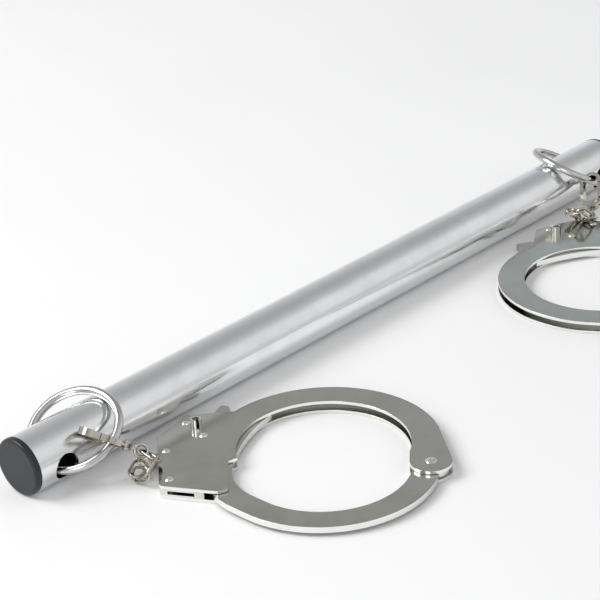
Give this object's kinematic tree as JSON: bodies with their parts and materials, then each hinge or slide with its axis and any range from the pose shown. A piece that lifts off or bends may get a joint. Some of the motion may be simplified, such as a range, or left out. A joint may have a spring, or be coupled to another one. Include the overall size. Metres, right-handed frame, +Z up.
{
  "type": "double-plate handcuffs on a tubular bar",
  "caption": "Metal tube with a wire ring through each end; each ring carries a snap clip, swivel, short link chain and a swing-through double-plate handcuff.",
  "frame": {"origin": "centre of the row's box in X and Y, on the plane the object lies on", "axes": "+X along the tube, +Y from the cuffs towards the tube, +Z up out of the plane it lies on"},
  "size_m": [0.3246, 0.1226, 0.0239],
  "materials": {
    "tube": "satin-bright plating, faint lines along the tube",
    "cap": "fine moulded texture",
    "ring_wire": "bright",
    "clip": "plated, tumbled",
    "chain": "plated, tumbled",
    "plate": "bright nickel with light wear",
    "arm": "bright nickel with light wear",
    "rivet": "headed, plated",
    "inner_steel": "stamped",
    "spring": "spring temper"
  },
  "bodies": {
    "bar": {"bar_tube": "tube", "end_cap_left": "cap", "end_cap_right": "cap"},
    "ring_left": {"ring_left": "ring_wire"},
    "clip_left": {"clip_body_left": "clip", "clip_gate_pin_left": "clip", "clip_gate_spring_left": "spring"},
    "gate_left": {"clip_gate_left": "clip"},
    "swivel_left": {"clip_swivel_left": "clip"},
    "link_1_left": {"link_1_left": "chain"},
    "link_2_left": {"link_2_left": "chain"},
    "link_3_left": {"link_3_left": "chain"},
    "link_4_left": {"link_4_left": "chain"},
    "link_5_left": {"link_5_left": "chain"},
    "link_6_left": {"link_6_left": "chain"},
    "cuff_left": {"lower_plate_left": "plate", "upper_plate_left": "plate", "side_wall_left": "plate", "body_rivets_left": "rivet", "pivot_rivet_left": "rivet", "key_barrel_left": "rivet", "pawl_spring_left": "spring"},
    "arm_left": {"arm_left": "arm"},
    "pawl_left": {"pawl_left": "inner_steel"},
    "lever_left": {"release_lever_left": "inner_steel"},
    "ring_right": {"ring_right": "ring_wire"},
    "clip_right": {"clip_body_right": "clip", "clip_gate_pin_right": "clip", "clip_gate_spring_right": "spring"},
    "gate_right": {"clip_gate_right": "clip"},
    "swivel_right": {"clip_swivel_right": "clip"},
    "link_1_right": {"link_1_right": "chain"},
    "link_2_right": {"link_2_right": "chain"},
    "link_3_right": {"link_3_right": "chain"},
    "link_4_right": {"link_4_right": "chain"},
    "link_5_right": {"link_5_right": "chain"},
    "link_6_right": {"link_6_right": "chain"},
    "cuff_right": {"lower_plate_right": "plate", "upper_plate_right": "plate", "side_wall_right": "plate", "body_rivets_right": "rivet", "pivot_rivet_right": "rivet", "key_barrel_right": "rivet", "pawl_spring_right": "spring"},
    "arm_right": {"arm_right": "arm"},
    "pawl_right": {"pawl_right": "inner_steel"},
    "lever_right": {"release_lever_right": "inner_steel"}
  },
  "joints": [
    {"name": "ring_turn_left", "type": "hinge", "parent": "bar", "child": "ring_left", "pos_m": [-0.1498, 0.04532, 0.0089], "axis": [0, -0.9848, -0.1736], "range_deg": [0, 84]},
    {"name": "clip_turn_left", "type": "hinge", "parent": "ring_left", "child": "clip_left", "pos_m": [-0.13567, 0.02948, 0.01363], "axis": [0.8555, 0.177, 0.4867], "range_deg": [0, 5]},
    {"name": "gate_left", "type": "hinge", "parent": "clip_left", "child": "gate_left", "pos_m": [-0.13367, 0.02551, 0.01258], "axis": [-0.6332, -0.1169, -0.7651], "range_deg": [0, 16], "stiffness_Nm_per_rad": 0.004, "springref_deg": -2.86},
    {"name": "swivel_left", "type": "hinge", "parent": "clip_left", "child": "swivel_left", "pos_m": [-0.13153, 0.02629, 0.01069], "axis": [0.691, -0.5308, -0.4907], "continuous": true},
    {"name": "link_1_left", "type": "hinge", "parent": "swivel_left", "child": "link_1_left", "pos_m": [-0.12731, 0.02306, 0.00769], "axis": [-0.6332, -0.1169, -0.7651], "range_deg": [-5, 25]},
    {"name": "link_2_left", "type": "hinge", "parent": "link_1_left", "child": "link_2_left", "pos_m": [-0.12828, 0.01672, 0.00736], "axis": [-0.3703, 0.7999, 0.4723], "range_deg": [-1, 25]},
    {"name": "link_3_left", "type": "hinge", "parent": "link_2_left", "child": "link_3_left", "pos_m": [-0.13436, 0.01679, 0.00433], "axis": [-0.2973, -0.5837, 0.7556], "range_deg": [-11, 3]},
    {"name": "link_4_left", "type": "hinge", "parent": "link_3_left", "child": "link_4_left", "pos_m": [-0.134, 0.02345, 0.00243], "axis": [-0.3116, -0.35, -0.8834], "range_deg": [-7, 15]},
    {"name": "link_5_left", "type": "hinge", "parent": "link_4_left", "child": "link_5_left", "pos_m": [-0.12776, 0.02546, 0.00401], "axis": [0.4616, -0.8581, -0.2246], "range_deg": [-21, 24]},
    {"name": "link_6_left", "type": "hinge", "parent": "link_5_left", "child": "link_6_left", "pos_m": [-0.12204, 0.02594, 0.00203], "axis": [-0.1465, -0.5458, -0.825], "range_deg": [-25, 9]},
    {"name": "cuff_turn_left", "type": "hinge", "parent": "link_6_left", "child": "cuff_left", "pos_m": [-0.11919, 0.0231, 0.0023], "axis": [0, 0, 1], "range_deg": [-7, 9]},
    {"name": "arm_left", "type": "hinge", "parent": "cuff_left", "child": "arm_left", "pos_m": [-0.07132, -0.04969, 0.0023], "axis": [0, 0, 1], "continuous": true},
    {"name": "pawl_left", "type": "hinge", "parent": "cuff_left", "child": "pawl_left", "pos_m": [-0.13107, 0.00924, 0.0023], "axis": [0, 0, 1], "range_deg": [-3.9, 1.2], "stiffness_Nm_per_rad": 0.004},
    {"name": "lever_left", "type": "hinge", "parent": "cuff_left", "child": "lever_left", "pos_m": [-0.10455, 0.02063, 0.0023], "axis": [0, 0, 1], "range_deg": [-3.75, 12.18]},
    {"name": "ring_turn_right", "type": "hinge", "parent": "bar", "child": "ring_right", "pos_m": [0.1489, 0.04612, 0.0105], "axis": [0, 0.9703, 0.2419], "range_deg": [0, 295]},
    {"name": "clip_turn_right", "type": "hinge", "parent": "ring_right", "child": "clip_right", "pos_m": [0.1332, 0.03046, 0.01389], "axis": [0.8566, -0.2384, -0.4575], "range_deg": [-7, 15]},
    {"name": "gate_right", "type": "hinge", "parent": "clip_right", "child": "gate_right", "pos_m": [0.1254, 0.02203, 0.00872], "axis": [-0.6332, 0.1169, 0.7651], "range_deg": [0, 22], "stiffness_Nm_per_rad": 0.004, "springref_deg": -2.86},
    {"name": "swivel_right", "type": "hinge", "parent": "clip_right", "child": "swivel_right", "pos_m": [0.12325, 0.02281, 0.00683], "axis": [0.691, 0.5308, 0.4907], "continuous": true},
    {"name": "link_1_right", "type": "hinge", "parent": "swivel_right", "child": "link_1_right", "pos_m": [0.11903, 0.01958, 0.00383], "axis": [-0.2958, -0.318, -0.9008], "range_deg": [-25, 7]},
    {"name": "link_2_right", "type": "hinge", "parent": "link_1_right", "child": "link_2_right", "pos_m": [0.1135, 0.01857, 0.00695], "axis": [0.3212, -0.9212, 0.2197], "range_deg": [-1, 1]},
    {"name": "link_3_right", "type": "hinge", "parent": "link_2_right", "child": "link_3_right", "pos_m": [0.10946, 0.02043, 0.01112], "axis": [-0.4722, 0.5295, -0.7048], "range_deg": [-1.5, 13]},
    {"name": "link_4_right", "type": "hinge", "parent": "link_3_right", "child": "link_4_right", "pos_m": [0.11091, 0.02683, 0.00851], "axis": [0.3413, -0.5317, 0.7751], "range_deg": [-6, 0]},
    {"name": "link_5_right", "type": "hinge", "parent": "link_4_right", "child": "link_5_right", "pos_m": [0.11677, 0.02473, 0.00542], "axis": [-0.3815, -0.832, -0.4027], "range_deg": [-5, 3]},
    {"name": "link_6_right", "type": "hinge", "parent": "link_5_right", "child": "link_6_right", "pos_m": [0.11738, 0.01963, 0.00165], "axis": [0.1494, -0.5975, 0.7878], "range_deg": [-1.5, 25]},
    {"name": "cuff_turn_right", "type": "hinge", "parent": "link_6_right", "child": "cuff_right", "pos_m": [0.11459, 0.01648, 0.0023], "axis": [0, 0, -1], "range_deg": [-39, 13]},
    {"name": "arm_right", "type": "hinge", "parent": "cuff_right", "child": "arm_right", "pos_m": [0.05481, -0.04689, 0.0023], "axis": [0, 0, -1], "continuous": true},
    {"name": "pawl_right", "type": "hinge", "parent": "cuff_right", "child": "pawl_right", "pos_m": [0.12388, 0.00077, 0.0023], "axis": [0, 0, -1], "range_deg": [-3.9, 1.2], "stiffness_Nm_per_rad": 0.004},
    {"name": "lever_right", "type": "hinge", "parent": "cuff_right", "child": "lever_right", "pos_m": [0.09975, 0.01659, 0.0023], "axis": [0, 0, -1], "range_deg": [-3.75, 12.18]}
  ],
  "couplings": [
    {"joint": "pawl_left", "follows": "lever_left", "ratio": -0.32},
    {"joint": "pawl_right", "follows": "lever_right", "ratio": -0.32}
  ]
}
